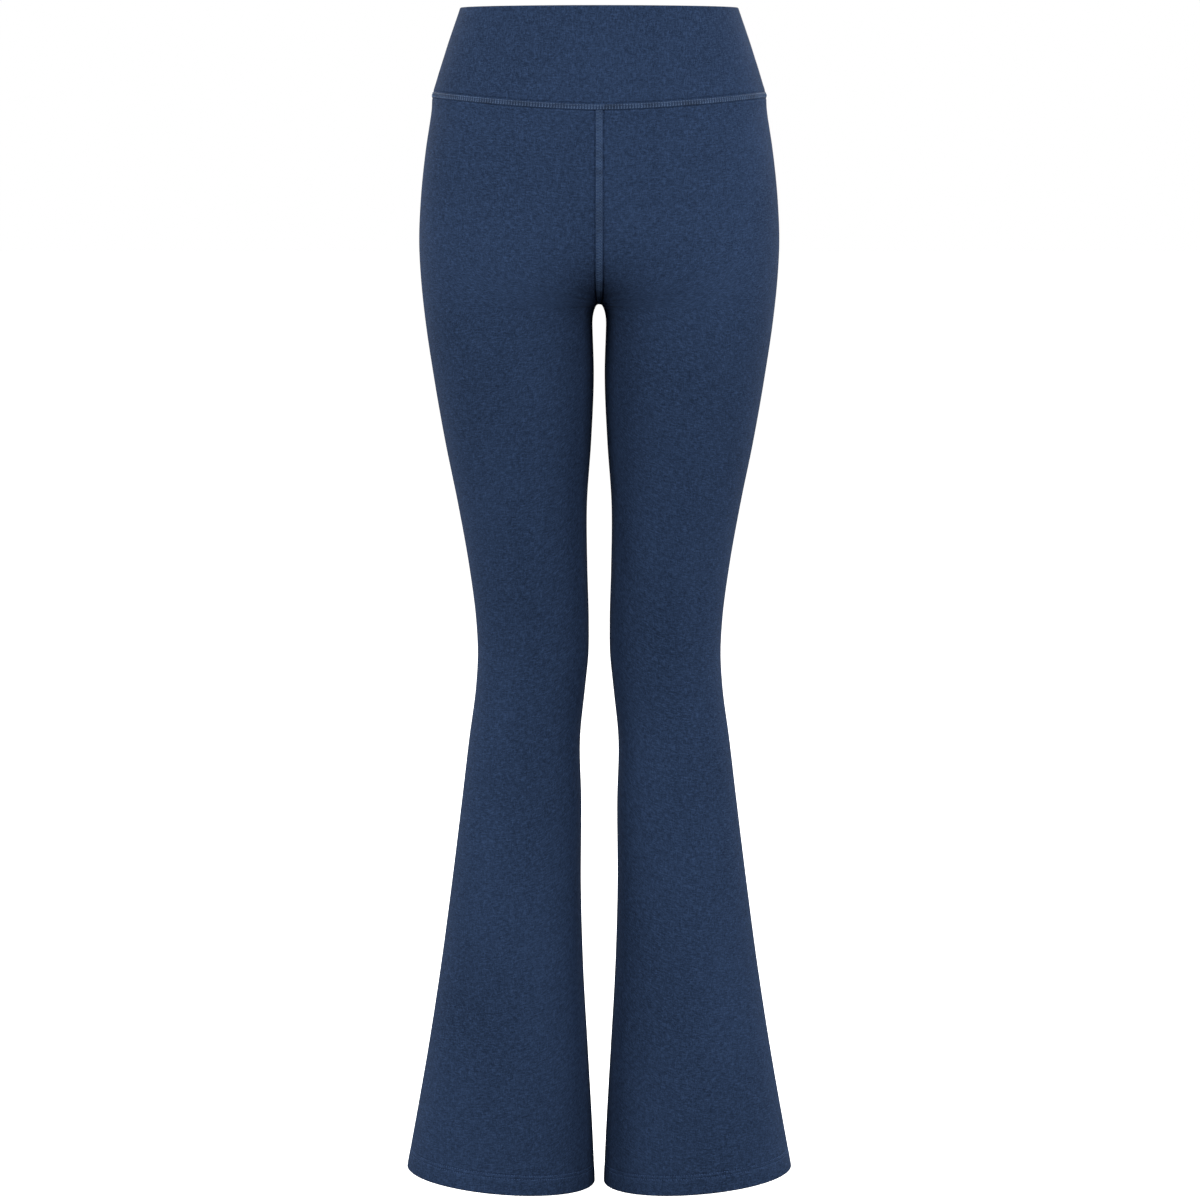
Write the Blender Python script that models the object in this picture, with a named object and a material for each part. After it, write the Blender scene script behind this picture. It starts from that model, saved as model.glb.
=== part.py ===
"""Sports leggings: a high folded waistband, legs close to the knee, then flared to the hem.

The garment keeps the hollow form it has when worn. Metres, +Z up, front towards -Y, wearer's
left towards +X. The origin is the middle of the waist opening, level with the waistband's top.

Every panel lies on one surface. At each drop below the waist, half of the garment is one
rounded section: an open arc from centre front to centre back above the crotch, and a closed
ring round the leg below it. The table SECTIONS gives its sizes.
"""

import bmesh
import bpy
import numpy as np

MM = 0.001

# Driving sizes
WAISTBAND_SIDE = 80.3 * MM
WAISTBAND_DIP_FRONT = 11.5 * MM
WAISTBAND_DIP_BACK = 7 * MM
CROTCH = 272.6 * MM
NOTCH_TOP = 160 * MM
WEB = 34 * MM
ARCH = 20 * MM
SPREAD = 75 * MM
HEM_OUTER = 1090.5 * MM
HEM_INNER = 1105.5 * MM

# How sharply the waist seam dips, the legs part, and the inner thigh flattens
DIP_SHARPNESS = 1.6
PARTING = 12
INNER_SHARPNESS = 8

# Cloth and seams
WALL = 1.2 * MM
FOLDED_WALL = 2.4 * MM
SEAM_GAP = 0.3 * MM
HEM_TURN = 15 * MM
WAIST_SEAM_HALF = 2.7 * MM
CENTRE_SEAM_HALF = 3.3 * MM
SEAM_LIFT = 0.4 * MM
SEAM_BUILD = 0.7 * MM
CENTRE_SEAM_END = 3 * MM

# Sections of one half, millimetres and a number without unit:
# drop below the waist, outer edge and inner edge from the middle, depth in front of and
# behind the side seam, squareness
SECTIONS = (
    (0, 128.0, 6.4, 90.0, 84.0, 0.06),
    (40, 141.7, 6.4, 96.5, 94.0, 0.06),
    (80, 153.1, 6.4, 102.5, 104.0, 0.06),
    (95, 155.0, 6.4, 104.0, 108.0, 0.06),
    (130, 160.4, 6.4, 106.5, 117.5, 0.06),
    (180, 165.6, 6.4, 106.5, 126.5, 0.06),
    (215, 167.0, 6.4, 105.0, 127.0, 0.05),
    (250, 165.4, 6.4, 102.5, 122.0, 0.04),
    (285, 161.9, 6.4, 100.0, 113.5, 0.03),
    (340, 154.0, 5.0, 95.0, 100.0, 0.02),
    (400, 143.7, 7.4, 88.0, 89.5, 0.01),
    (460, 131.7, 11.4, 79.5, 79.5, 0.0),
    (520, 121.3, 11.0, 70.0, 69.5, 0.0),
    (570, 115.2, 9.7, 62.5, 63.5, 0.0),
    (600, 113.9, 10.0, 59.3, 62.5, 0.0),
    (630, 115.6, 12.9, 57.8, 64.0, 0.0),
    (680, 122.2, 17.8, 57.5, 69.5, 0.0),
    (740, 129.4, 16.7, 59.0, 74.5, 0.0),
    (820, 139.4, 17.1, 63.0, 78.0, 0.0),
    (900, 150.2, 14.9, 68.0, 81.5, 0.0),
    (980, 162.7, 10.5, 74.5, 85.5, 0.0),
    (1050, 175.1, 6.6, 80.5, 89.0, 0.0),
    (1110, 186.1, 3.9, 85.5, 92.0, 0.0),
)

# How finely each panel is faceted
WAISTBAND_ROWS = 4
RISE_ROWS = 12
LEG_ROWS = 15
ARCH_ROWS = (3 * MM, 9 * MM)
FRONT_COLUMNS = 9
BACK_COLUMNS = 10
CROWDING = 1.25
CROTCH_ROW = RISE_ROWS + 1
FINE = 400
SHARP_EDGE = np.radians(50)

# A fold's rounded edge: distance from the edge, share of the wall taken off each side
FOLD = ((0, 0.30), (0.5 * MM, 0.10), (1.3 * MM, 0))

NAVY = (0.026, 0.046, 0.092, 1)
SEAM_BLUE = (0.036, 0.060, 0.112, 1)
ROUGHNESS = 0.9


def section_sizes(drop):
    """The five sizes of the section at each drop, smooth from row to row of SECTIONS."""
    table = np.array(SECTIONS)
    drops = table[:, 0] * MM
    row = np.clip(np.searchsorted(drops, drop) - 1, 0, len(drops) - 2)
    width = drops[row + 1] - drops[row]
    share = (drop - drops[row]) / width
    sizes = []
    for column, unit in enumerate((MM, MM, MM, MM, 1), start=1):
        values = table[:, column] * unit
        slopes = np.gradient(values, drops)
        upper = (1 + 2 * share) * values[row] + share * width * slopes[row]
        lower = (3 - 2 * share) * values[row + 1] - (1 - share) * width * slopes[row + 1]
        sizes.append((1 - share) ** 2 * upper + share**2 * lower)
    return sizes


def cloth(around, drop):
    """Points of the left half. around runs from 0 at centre front, or at the inseam below
    the crotch, through 0.5 at the side seam, to 1 at centre back or the inseam again."""
    outer, inner, front, back, squareness = section_sizes(drop)
    parting = np.maximum(drop - NOTCH_TOP, 0) / (CROTCH - NOTCH_TOP)
    notch = np.minimum(parting, 1) ** 2
    level = np.sqrt(1 - notch**2)
    turn_in = np.arcsin(notch)
    turn = (np.pi + 2 * turn_in) * around - turn_in
    sine, cosine = np.sin(turn), np.cos(turn)

    # The legs part softly, so the rest of the section doesn't show where the crotch is: only
    # near its inner ends is it pushed out to the centre line, or to the gap between the legs.
    below = np.maximum(drop - CROTCH, 0)
    gap = inner * np.sqrt(1 - (1 - np.minimum(below / ARCH, 1)) ** 2)
    spread = inner * (1 - np.cos(np.pi * np.minimum(below / SPREAD, 1))) / 2
    soft_notch = parting**2 / (1 + parting ** PARTING) ** (2 / PARTING)
    radius = (outer - spread) / (1 + soft_notch)
    push = gap - outer + radius * (1 + notch)
    x = outer - radius * (1 - sine) + push * ((1 - sine) / (1 + notch)) ** INNER_SHARPNESS

    depth = (front + back) / 2
    lean = (back - front) / 2
    y = -depth * cosine * (1 + squareness * sine**2) + lean * cosine**2

    # The cloth bridges the notch between the legs: past its reach the section is untouched.
    side = np.sign(cosine)
    reach = np.maximum(WEB * level**2, 0.01 * MM)
    fall = depth * (1 + squareness * (notch**2 - 2 * level**2)) - 2 * side * lean * level
    run = radius - INNER_SHARPNESS * push / (1 + notch)
    y = y - side * WEB * level * notch * fall / run / 3 * np.maximum(1 - x / reach, 0) ** 3
    return np.stack([x, y, -drop + 0 * x], -1)


def waist_seam_drop(around):
    """Drop of the seam under the waistband, which dips towards centre front and back."""
    dip = np.where(around < 0.5, WAISTBAND_DIP_FRONT, WAISTBAND_DIP_BACK)
    return WAISTBAND_SIDE + dip * (1 - np.sin(np.pi * around) ** DIP_SHARPNESS)


def length_along(line):
    """Distance of each point of a line from its start, measured along it."""
    return np.append(0, np.cumsum(np.linalg.norm(np.diff(line, axis=0), axis=1)))


def centre_drops(end, shares):
    """Drops at shares of the centre seam's length, from the waist seam to the crotch."""
    top = waist_seam_drop(np.array(end))
    drop = top + (CROTCH - top) * np.sin(np.linspace(0, np.pi / 2, FINE))
    length = length_along(cloth(np.full(FINE, end), drop))
    return np.interp(shares * length[-1], length, drop)


def rise_rows(around):
    """Drops of the rows from the waist seam to the crotch, one line a row."""
    shares = np.linspace(0, 1, RISE_ROWS + 1)
    side = WAISTBAND_SIDE + (CROTCH - WAISTBAND_SIDE) * shares
    front = centre_drops(0.0, shares)
    back = centre_drops(1.0, shares)
    edge = np.where(around < 0.5, front[:, None], back[:, None])
    tilt = 1 - np.sin(np.pi * around) ** DIP_SHARPNESS
    rows = side[:, None] + (edge - side[:, None]) * tilt
    return np.vstack([rows[0] + SEAM_GAP / 2, rows[0] + WAIST_SEAM_HALF, rows[1:]])


def leg_rows(around):
    """Drops of the rows from just under the crotch to the hem."""
    hem = HEM_OUTER + (HEM_INNER - HEM_OUTER) * np.cos(np.pi * around) ** 2
    turned = hem - HEM_TURN
    arch = [np.full_like(around, CROTCH + below) for below in ARCH_ROWS]
    shares = np.linspace(0, 1, LEG_ROWS + 1)[:, None]
    plain = CROTCH + ARCH + shares * (turned - SEAM_GAP - CROTCH - ARCH)
    folded = [hem - height for height, _ in reversed(FOLD)]
    return np.vstack([*arch, plain, turned, *folded])


def waistband_rows(around):
    """Drops of the waistband's rows, from its folded top to the waist seam."""
    seam = waist_seam_drop(around)
    fold = [np.full_like(around, height) for height, _ in FOLD]
    lowest = seam - WAIST_SEAM_HALF
    shares = np.linspace(0, 1, WAISTBAND_ROWS + 1)[1:, None]
    plain = fold[-1] + shares * (lowest - fold[-1])
    return np.vstack([*fold, plain, seam - SEAM_GAP / 2])


def facet(line, columns):
    """A line's first point, the point at the centre seam's edge, then steps that widen."""
    length = length_along(line)
    shares = np.linspace(0, 1, columns + 1) ** CROWDING
    stops = np.append(0, CENTRE_SEAM_HALF + shares * (length[-1] - CENTRE_SEAM_HALF))
    return np.stack([np.interp(stops, length, line[:, axis]) for axis in range(3)], -1)


def facet_half(drops, around):
    """A grid of points on the left half, a row for each line of drops."""
    side = len(around) // 2
    grid = []
    for line in cloth(around, drops):
        front = facet(line[: side + 1], FRONT_COLUMNS)
        back = facet(line[side:][::-1], BACK_COLUMNS)
        grid.append(np.vstack([front, back[-2::-1]]))
    return np.array(grid)


def mirrored(points):
    return points * (-1, 1, 1)


def outward(grid, closed_from):
    """Unit normals of a half's grid. Rows from closed_from on run all round a leg."""
    before = np.concatenate([mirrored(grid[:, 1:2]), grid[:, :-1]], 1)
    after = np.concatenate([grid[:, 1:], mirrored(grid[:, -2:-1])], 1)
    before[closed_from:, 0] = grid[closed_from:, -2]
    after[closed_from:, -1] = grid[closed_from:, 1]
    normals = np.cross(np.gradient(grid, axis=0), after - before)
    normals /= np.linalg.norm(normals, axis=2, keepdims=True)
    inseam = normals[closed_from - 1 :, 0] + normals[closed_from - 1 :, -1]
    inseam /= np.linalg.norm(inseam, axis=1, keepdims=True)
    normals[closed_from - 1 :, 0] = inseam
    normals[closed_from - 1 :, -1] = inseam
    return normals


def triangles(index, points):
    """Three-cornered faces of a grid of point numbers, each cell cut along its shorter way."""
    first, second, third, fourth = index[:-1, :-1], index[1:, :-1], index[1:, 1:], index[:-1, 1:]
    straight = np.linalg.norm(points[first] - points[third], axis=-1)
    across = np.linalg.norm(points[second] - points[fourth], axis=-1)
    one = np.stack([first, second, np.where(straight < across, third, fourth)], -1)
    other = np.stack([np.where(straight < across, first, second), third, fourth], -1)
    return np.concatenate([one.reshape(-1, 3), other.reshape(-1, 3)])


def wall(name, outer, inner, colour, ring=False):
    """Makes the object for a wall between two grids, closed at its ends or run in a ring."""
    rows, columns = outer.shape[:2]
    points = np.concatenate([outer, inner]).reshape(-1, 3)
    front = np.arange(rows * columns).reshape(rows, columns)
    if ring:
        front = np.concatenate([front, front[:, :1]], 1)
    skin = triangles(front, points)
    back = front + rows * columns
    edges = [np.stack([back[0], front[0]]), np.stack([front[-1], back[-1]])]
    if not ring:
        edges += [np.stack([front[:, 0], back[:, 0]]), np.stack([back[:, -1], front[:, -1]])]
    rim = [triangles(edge, points) for edge in edges]
    faces = np.concatenate([skin, skin[:, ::-1] + rows * columns, *rim])

    shape = bmesh.new()
    corners = [shape.verts.new(point) for point in points.tolist()]
    for face in faces.tolist():
        shape.faces.new([corners[number] for number in face])
    bmesh.ops.recalc_face_normals(shape, faces=shape.faces)
    mesh = bpy.data.meshes.new(name)
    shape.to_mesh(mesh)
    shape.free()
    mesh.shade_smooth()
    mesh.set_sharp_from_angle(angle=SHARP_EDGE)
    mesh.materials.append(cloth_material(name, colour))
    garment.objects.link(bpy.data.objects.new(name, mesh))


def cloth_material(name, colour):
    material = bpy.data.materials.new(name)
    material.use_nodes = True
    shader = material.node_tree.nodes["Principled BSDF"]
    shader.inputs["Base Color"].default_value = colour
    shader.inputs["Roughness"].default_value = ROUGHNESS
    shader.inputs["Metallic"].default_value = 0
    return material


def make_waistband(around):
    """Front and back of the waistband, each one strip folded double at the top."""
    grid = facet_half(waistband_rows(around), around)
    normals = outward(grid, len(grid) + 1)
    taper = np.zeros(len(grid))
    taper[: len(FOLD)] = [share for _, share in FOLD]
    side = FRONT_COLUMNS + 1

    def whole_front(half):
        return np.concatenate([mirrored(half[:, side:0:-1]), half[:, : side + 1]], 1)

    def whole_back(half):
        return np.concatenate([half[:, side:], mirrored(half[:, -2 : side - 1 : -1])], 1)

    for name, whole, shift in (
        ("waistband_front", whole_front, -SEAM_GAP / 2),
        ("waistband_back", whole_back, SEAM_GAP / 2),
    ):
        panel, facing = whole(grid), whole(normals)
        panel[:, [0, -1], 1] += shift
        cut = taper[:, None, None] * FOLDED_WALL * facing
        wall(name, panel - cut, panel - FOLDED_WALL * facing + cut, NAVY)
    return grid, normals


def make_legs(around):
    """Front and back of each leg, up to the waist seam, their hems turned up inside."""
    grid = facet_half(np.vstack([rise_rows(around), leg_rows(around)]), around)
    normals = outward(grid, CROTCH_ROW + 1)
    thick = np.full(len(grid), WALL)
    thick[-len(FOLD) - 1 :] = FOLDED_WALL
    taper = np.zeros(len(grid))
    taper[-len(FOLD) :] = [share for _, share in reversed(FOLD)]
    side = FRONT_COLUMNS + 1
    for name, columns, shift, side_edge, centre_edge in (
        ("leg_front", slice(0, side + 1), -SEAM_GAP / 2, -1, 0),
        ("leg_back", slice(side, None), SEAM_GAP / 2, 0, -1),
    ):
        # Left and right part along x, at centre front and back; front and back part along y.
        panel = grid[:, columns] + (SEAM_GAP / 2, 0, 0)
        panel[:, side_edge, 1] += shift
        panel[CROTCH_ROW:, centre_edge, 1] += shift
        facing = normals[:, columns]
        cut = (taper * thick)[:, None, None] * facing
        outer = panel - cut
        inner = panel - thick[:, None, None] * facing + cut
        wall(name + "_left", outer, inner, NAVY)
        wall(name + "_right", mirrored(outer), mirrored(inner), NAVY)
    return grid, normals


def make_waist_seam(band, band_normals, leg, leg_normals):
    """The ring of cover stitching over the join of waistband and legs."""
    points = np.stack([band[-2], (band[-1] + leg[0]) / 2, leg[1]])
    facing = np.stack([band_normals[-2], band_normals[-1], leg_normals[1]])
    points = np.concatenate([points, mirrored(points[:, -2:0:-1])], 1)
    facing = np.concatenate([facing, mirrored(facing[:, -2:0:-1])], 1)
    upper = points + (SEAM_LIFT + SEAM_BUILD) * facing
    wall("waist_seam", upper, points + SEAM_LIFT * facing, SEAM_BLUE, ring=True)


def make_centre_seam(name, leg, normals, edge, inside):
    """The cover stitching from just under the waist seam to just before the crotch."""
    end = np.argmax(leg[:, edge, 2] < CENTRE_SEAM_END - CROTCH)
    line, rim = leg[1:end, edge], leg[1:end, inside]
    line_facing, rim_facing = normals[1:end, edge], normals[1:end, inside]
    points = np.stack([mirrored(rim), line, rim], 1)
    facing = np.stack([mirrored(rim_facing), line_facing, rim_facing], 1)
    first_step = points[1] - points[0]
    points[0] += first_step * SEAM_GAP / np.linalg.norm(first_step[1])
    upper = points + (SEAM_LIFT + SEAM_BUILD) * facing
    wall(name, upper, points + SEAM_LIFT * facing, SEAM_BLUE)


for thing in list(bpy.data.objects):
    bpy.data.objects.remove(thing)
garment = bpy.data.collections.new("sports_leggings")
bpy.context.scene.collection.children.link(garment)

around = np.linspace(0, 1, 2 * FINE + 1)
band, band_normals = make_waistband(around)
leg, leg_normals = make_legs(around)
make_waist_seam(band, band_normals, leg, leg_normals)
make_centre_seam("centre_seam_front", leg, leg_normals, edge=0, inside=1)
make_centre_seam("centre_seam_back", leg, leg_normals, edge=-1, inside=-2)
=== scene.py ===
# %% [markdown]
# # Flared sports leggings
#
# The real garment is six panels of brushed navy stretch knit. Two make the folded waistband
# and four make the legs, close to the knee and flared from there to the hem. Cover stitching
# lies over the waist seam and the centre seams. It is worn here by nobody: the cloth keeps
# the hollow form that it takes on a wearer.
#
# Such a garment could be sculpted, or draped over a figure by a cloth simulation. Stretched
# knit hardly folds, so a formula gives its form better. Every panel lies on one surface, a
# function of two numbers: how far round the body a point is, and how far it drops below the
# waist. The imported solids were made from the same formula, so the fine cloth made here lies
# where they are.

import bpy
import numpy as np
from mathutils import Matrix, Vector


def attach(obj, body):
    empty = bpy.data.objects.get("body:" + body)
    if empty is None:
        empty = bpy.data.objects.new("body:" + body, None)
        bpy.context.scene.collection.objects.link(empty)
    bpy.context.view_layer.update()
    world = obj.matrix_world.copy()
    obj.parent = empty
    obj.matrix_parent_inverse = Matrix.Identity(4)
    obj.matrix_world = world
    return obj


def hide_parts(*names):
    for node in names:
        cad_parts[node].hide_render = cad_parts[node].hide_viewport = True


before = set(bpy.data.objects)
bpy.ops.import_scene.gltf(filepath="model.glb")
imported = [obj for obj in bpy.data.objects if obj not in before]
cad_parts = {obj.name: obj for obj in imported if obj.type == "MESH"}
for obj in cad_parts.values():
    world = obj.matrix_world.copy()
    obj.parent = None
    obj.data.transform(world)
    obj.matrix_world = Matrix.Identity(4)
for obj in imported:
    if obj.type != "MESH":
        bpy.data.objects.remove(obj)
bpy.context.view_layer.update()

print("packed nodes:", sorted(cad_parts))

# %% [markdown]
# ## The form
#
# A pattern cutter thinks of a body as a stack of sections. The table gives one half of the
# garment at each drop: how far the outer and the inner edge are from the middle, how deep
# it is in front of and behind the side seam, and how square the section is. Straight lines
# between the rows would show as ridges in soft light, so each size follows a smooth cubic.

# %% Sizes of the garment
MM = 0.001

WAISTBAND_SIDE = 80.3 * MM
WAISTBAND_DIP_FRONT = 11.5 * MM
WAISTBAND_DIP_BACK = 7 * MM
CROTCH = 272.6 * MM
NOTCH_TOP = 160 * MM
WEB = 34 * MM
ARCH = 20 * MM
SPREAD = 75 * MM
HEM_OUTER = 1090.5 * MM
HEM_INNER = 1105.5 * MM

DIP_SHARPNESS = 1.6
PARTING = 12
INNER_SHARPNESS = 8

# drop, outer edge, inner edge, depth in front, depth behind (mm), squareness
SECTIONS = (
    (0, 128.0, 6.4, 90.0, 84.0, 0.06),
    (40, 141.7, 6.4, 96.5, 94.0, 0.06),
    (80, 153.1, 6.4, 102.5, 104.0, 0.06),
    (95, 155.0, 6.4, 104.0, 108.0, 0.06),
    (130, 160.4, 6.4, 106.5, 117.5, 0.06),
    (180, 165.6, 6.4, 106.5, 126.5, 0.06),
    (215, 167.0, 6.4, 105.0, 127.0, 0.05),
    (250, 165.4, 6.4, 102.5, 122.0, 0.04),
    (285, 161.9, 6.4, 100.0, 113.5, 0.03),
    (340, 154.0, 5.0, 95.0, 100.0, 0.02),
    (400, 143.7, 7.4, 88.0, 89.5, 0.01),
    (460, 131.7, 11.4, 79.5, 79.5, 0.0),
    (520, 121.3, 11.0, 70.0, 69.5, 0.0),
    (570, 115.2, 9.7, 62.5, 63.5, 0.0),
    (600, 113.9, 10.0, 59.3, 62.5, 0.0),
    (630, 115.6, 12.9, 57.8, 64.0, 0.0),
    (680, 122.2, 17.8, 57.5, 69.5, 0.0),
    (740, 129.4, 16.7, 59.0, 74.5, 0.0),
    (820, 139.4, 17.1, 63.0, 78.0, 0.0),
    (900, 150.2, 14.9, 68.0, 81.5, 0.0),
    (980, 162.7, 10.5, 74.5, 85.5, 0.0),
    (1050, 175.1, 6.6, 80.5, 89.0, 0.0),
    (1110, 186.1, 3.9, 85.5, 92.0, 0.0),
)
print("sections in the table:", len(SECTIONS))


# %% The sizes between the table's rows
def section_sizes(drop):
    """The five sizes of the section at each drop.

    Between two rows each size is the cubic that has the rows' values and slopes at its
    ends; a row's slope comes from its two neighbours.
    """
    table = np.array(SECTIONS)
    drops = table[:, 0] * MM
    row = np.clip(np.searchsorted(drops, drop) - 1, 0, len(drops) - 2)
    width = drops[row + 1] - drops[row]
    share = (drop - drops[row]) / width
    sizes = []
    for column, unit in enumerate((MM, MM, MM, MM, 1), start=1):
        values = table[:, column] * unit
        slopes = np.gradient(values, drops)
        upper = (1 + 2 * share) * values[row] + share * width * slopes[row]
        lower = (3 - 2 * share) * values[row + 1] - (1 - share) * width * slopes[row + 1]
        sizes.append((1 - share) ** 2 * upper + share**2 * lower)
    return sizes


# %% [markdown]
# Above the crotch, half of the body is an arc that opens towards the middle. Below it, the
# arc closes into a ring, the leg. One angle does both: it runs over a half turn at the
# waist, and over a whole turn once the notch between the legs is full. Close to the middle
# the arc is bent on to the centre line, so left and right meet without a ridge.


# %% The surface that all panels lie on
def cloth(around, drop):
    """Points of the left half.

    around runs from 0 at centre front, or at the inseam below the crotch, through 0.5 at
    the side seam, to 1 at centre back or the inseam again. x is the outer edge less a
    radius times 1 - sin(turn). y is minus the depth times cos(turn).
    """
    outer, inner, front, back, squareness = section_sizes(drop)
    parting = np.maximum(drop - NOTCH_TOP, 0) / (CROTCH - NOTCH_TOP)
    notch = np.minimum(parting, 1) ** 2
    level = np.sqrt(1 - notch**2)
    turn_in = np.arcsin(notch)
    turn = (np.pi + 2 * turn_in) * around - turn_in
    sine, cosine = np.sin(turn), np.cos(turn)

    # The inner ends are pushed out to the centre line, or to the gap between the legs.
    below = np.maximum(drop - CROTCH, 0)
    gap = inner * np.sqrt(1 - (1 - np.minimum(below / ARCH, 1)) ** 2)
    spread = inner * (1 - np.cos(np.pi * np.minimum(below / SPREAD, 1))) / 2
    soft_notch = parting**2 / (1 + parting**PARTING) ** (2 / PARTING)
    radius = (outer - spread) / (1 + soft_notch)
    push = gap - outer + radius * (1 + notch)
    x = outer - radius * (1 - sine) + push * ((1 - sine) / (1 + notch)) ** INNER_SHARPNESS

    depth = (front + back) / 2
    lean = (back - front) / 2
    y = -depth * cosine * (1 + squareness * sine**2) + lean * cosine**2

    # The cloth bridges the notch between the legs.
    side = np.sign(cosine)
    reach = np.maximum(WEB * level**2, 0.01 * MM)
    fall = depth * (1 + squareness * (notch**2 - 2 * level**2)) - 2 * side * lean * level
    run = radius - INNER_SHARPNESS * push / (1 + notch)
    y = y - side * WEB * level * notch * fall / run / 3 * np.maximum(1 - x / reach, 0) ** 3
    return np.stack([x, y, -drop + 0 * x], -1)


# %% [markdown]
# ## Rows and columns
#
# A panel is a grid on that surface. Its rows follow the cloth: along the waist seam at the
# top, level at the crotch, and along the curved hem at the bottom. Its columns are evenly
# spaced along each row, and crowded near the seams, where the cloth dips within a few
# millimetres. An even grid that fine would need a hundred times as many faces.

# %% Lines that run across the panels
FINE = 500


def lengths(lines):
    """Distance of each point from its line's start: the running sum of the step lengths."""
    steps = np.linalg.norm(np.diff(lines, axis=-2), axis=-1)
    return np.concatenate([np.zeros_like(steps[..., :1]), np.cumsum(steps, -1)], -1)


def tilt(around):
    """0 at the side seam and 1 at the centre: how far a dipping line has dipped."""
    return 1 - np.sin(np.pi * around) ** DIP_SHARPNESS


def waist_seam(around):
    """Drop of the seam under the waistband, which dips towards centre front and back."""
    dip = np.where(around < 0.5, WAISTBAND_DIP_FRONT, WAISTBAND_DIP_BACK)
    return WAISTBAND_SIDE + dip * tilt(around)


def hem(around):
    """Drop of the hem, lower at the inseam than at the side seam."""
    return HEM_OUTER + (HEM_INNER - HEM_OUTER) * np.cos(np.pi * around) ** 2


def centre_drops(end, shares):
    """Drops at shares of the centre seam's length, from the waist seam to the crotch."""
    top = waist_seam(np.array(end))
    drop = top + (CROTCH - top) * np.sin(np.linspace(0, np.pi / 2, FINE))
    length = lengths(cloth(np.full(FINE, end), drop))
    return np.interp(shares * length[-1], length, drop)


def rise_lines(shares):
    """Lines from the waist seam to the crotch: a function that gives their drops."""
    side = WAISTBAND_SIDE + (CROTCH - WAISTBAND_SIDE) * shares[:, None]
    front = centre_drops(0.0, shares)[:, None]
    back = centre_drops(1.0, shares)[:, None]
    return lambda around: side + (np.where(around < 0.5, front, back) - side) * tilt(around)


def blended_lines(first, level, last, above_last, plain):
    """Lines that start level and turn evenly into the line `last`.

    Each line's drop is a + b * last(around), where b grows from 0 to 1.
    """
    start = first + level[-1]
    share = np.linspace(0, 1, plain + 2)[1:-1]
    a = np.concatenate([first + level, start - (start + above_last[0]) * share, -above_last])
    b = np.concatenate([0 * level, share, np.ones_like(above_last)])
    return lambda around: a[:, None] + b[:, None] * last(around)


print("waist seam at side, front and back (mm):",
      np.round(waist_seam(np.array([0.5, 0, 1])) / MM, 1))

# %% Columns, and the grid of one half
CENTRE_STEPS = np.array([0, 0.5, 1, 1.6, 2.3, 3, 3.3, 3.7, 4.1, 4.5, 5.2, 6.5, 8.5, 11]) * MM
SIDE_STEPS = np.array([0, 0.4, 0.8, 1.2, 1.7, 2.4, 3.4, 5, 8]) * MM
MIDDLE_SHARES = np.linspace(0, 1, 42)[1:-1]
SIDE_COLUMN = len(CENTRE_STEPS) + len(MIDDLE_SHARES) + len(SIDE_STEPS) - 1


def read_back(wanted, known, values):
    """Row by row, the values at the wanted lengths, between those at the known lengths."""
    return np.array([np.interp(*row) for row in zip(wanted, known, values)])


def half_grid(lines):
    """Points of the left half on some lines, with each point's way along its line.

    Walk each line in fine steps, add up its length, and read back where the columns fall.
    Returns the points, the distances from the centre or inseam, and from the side seam.
    """
    parts = []
    for start in (0, 1):
        fine = np.linspace(start, 0.5, FINE)
        drops = lines(fine)
        length = lengths(cloth(fine, drops))
        whole = length[:, -1:]
        between = whole - CENTRE_STEPS[-1] - SIDE_STEPS[-1]
        stops = np.hstack([CENTRE_STEPS + 0 * whole, CENTRE_STEPS[-1] + between * MIDDLE_SHARES,
                           whole - SIDE_STEPS[::-1]])
        around = read_back(stops, length, fine + 0 * drops)
        points = cloth(around, read_back(stops, length, drops))
        parts.append([points, stops, whole - stops])
    return [np.concatenate([front, back[:, -2::-1]], 1) for front, back in zip(*parts)]


# %% Normals and neighbours
def mirrored(points):
    """The same points or directions on the wearer's right: x changes its sign."""
    return points * np.array([-1, 1, 1])


def unit(vectors):
    """The same directions with length 1."""
    return vectors / np.linalg.norm(vectors, axis=-1, keepdims=True)


def outward(points, crotch_row=None):
    """Unit normals: the step down crossed with the step across.

    Past the edge of the half lies its mirror image, and below the crotch row, the other
    side of the same leg. Down the inseam both sides share one normal.
    """
    before = np.concatenate([mirrored(points[:, 1:2]), points[:, :-1]], 1)
    after = np.concatenate([points[:, 1:], mirrored(points[:, -2:-1])], 1)
    if crotch_row is not None:
        before[crotch_row + 1:, 0] = points[crotch_row + 1:, -2]
        after[crotch_row + 1:, -1] = points[crotch_row + 1:, 1]
    normals = unit(np.cross(np.gradient(points, axis=0), after - before))
    if crotch_row is not None:
        shared = unit(normals[crotch_row:, 0] + normals[crotch_row:, -1])
        normals[crotch_row:, 0] = shared
        normals[crotch_row:, -1] = shared
    return normals


# %% [markdown]
# ## Meshes
#
# A panel of cloth is two grids, its outer and its inner face, closed round the edge, so it
# prints and weighs as cloth does. A Solidify modifier would give the thickness too, but not
# the fold: at the waist and at the hem, the two faces come together in a half circle. A
# point's place in the cloth, in metres across and along, becomes its UV, and the knit's
# pattern follows that.

# %% Faces of a grid
def quads(index):
    """The four-cornered faces of a grid of point numbers, facing the one who looks at it."""
    corners = [index[:-1, :-1], index[1:, :-1], index[1:, 1:], index[:-1, 1:]]
    return np.stack(corners, -1).reshape(-1, 4)


def split_pinched(faces):
    """Four-cornered faces, and those of them with a doubled corner as triangles."""
    doubled = faces == np.roll(faces, -1, 1)
    pinched = doubled.any(1)
    return [faces[~pinched], faces[pinched][~doubled[pinched]].reshape(-1, 3)]


# %% Points and faces to a piece
SHARP = np.radians(60)


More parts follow.
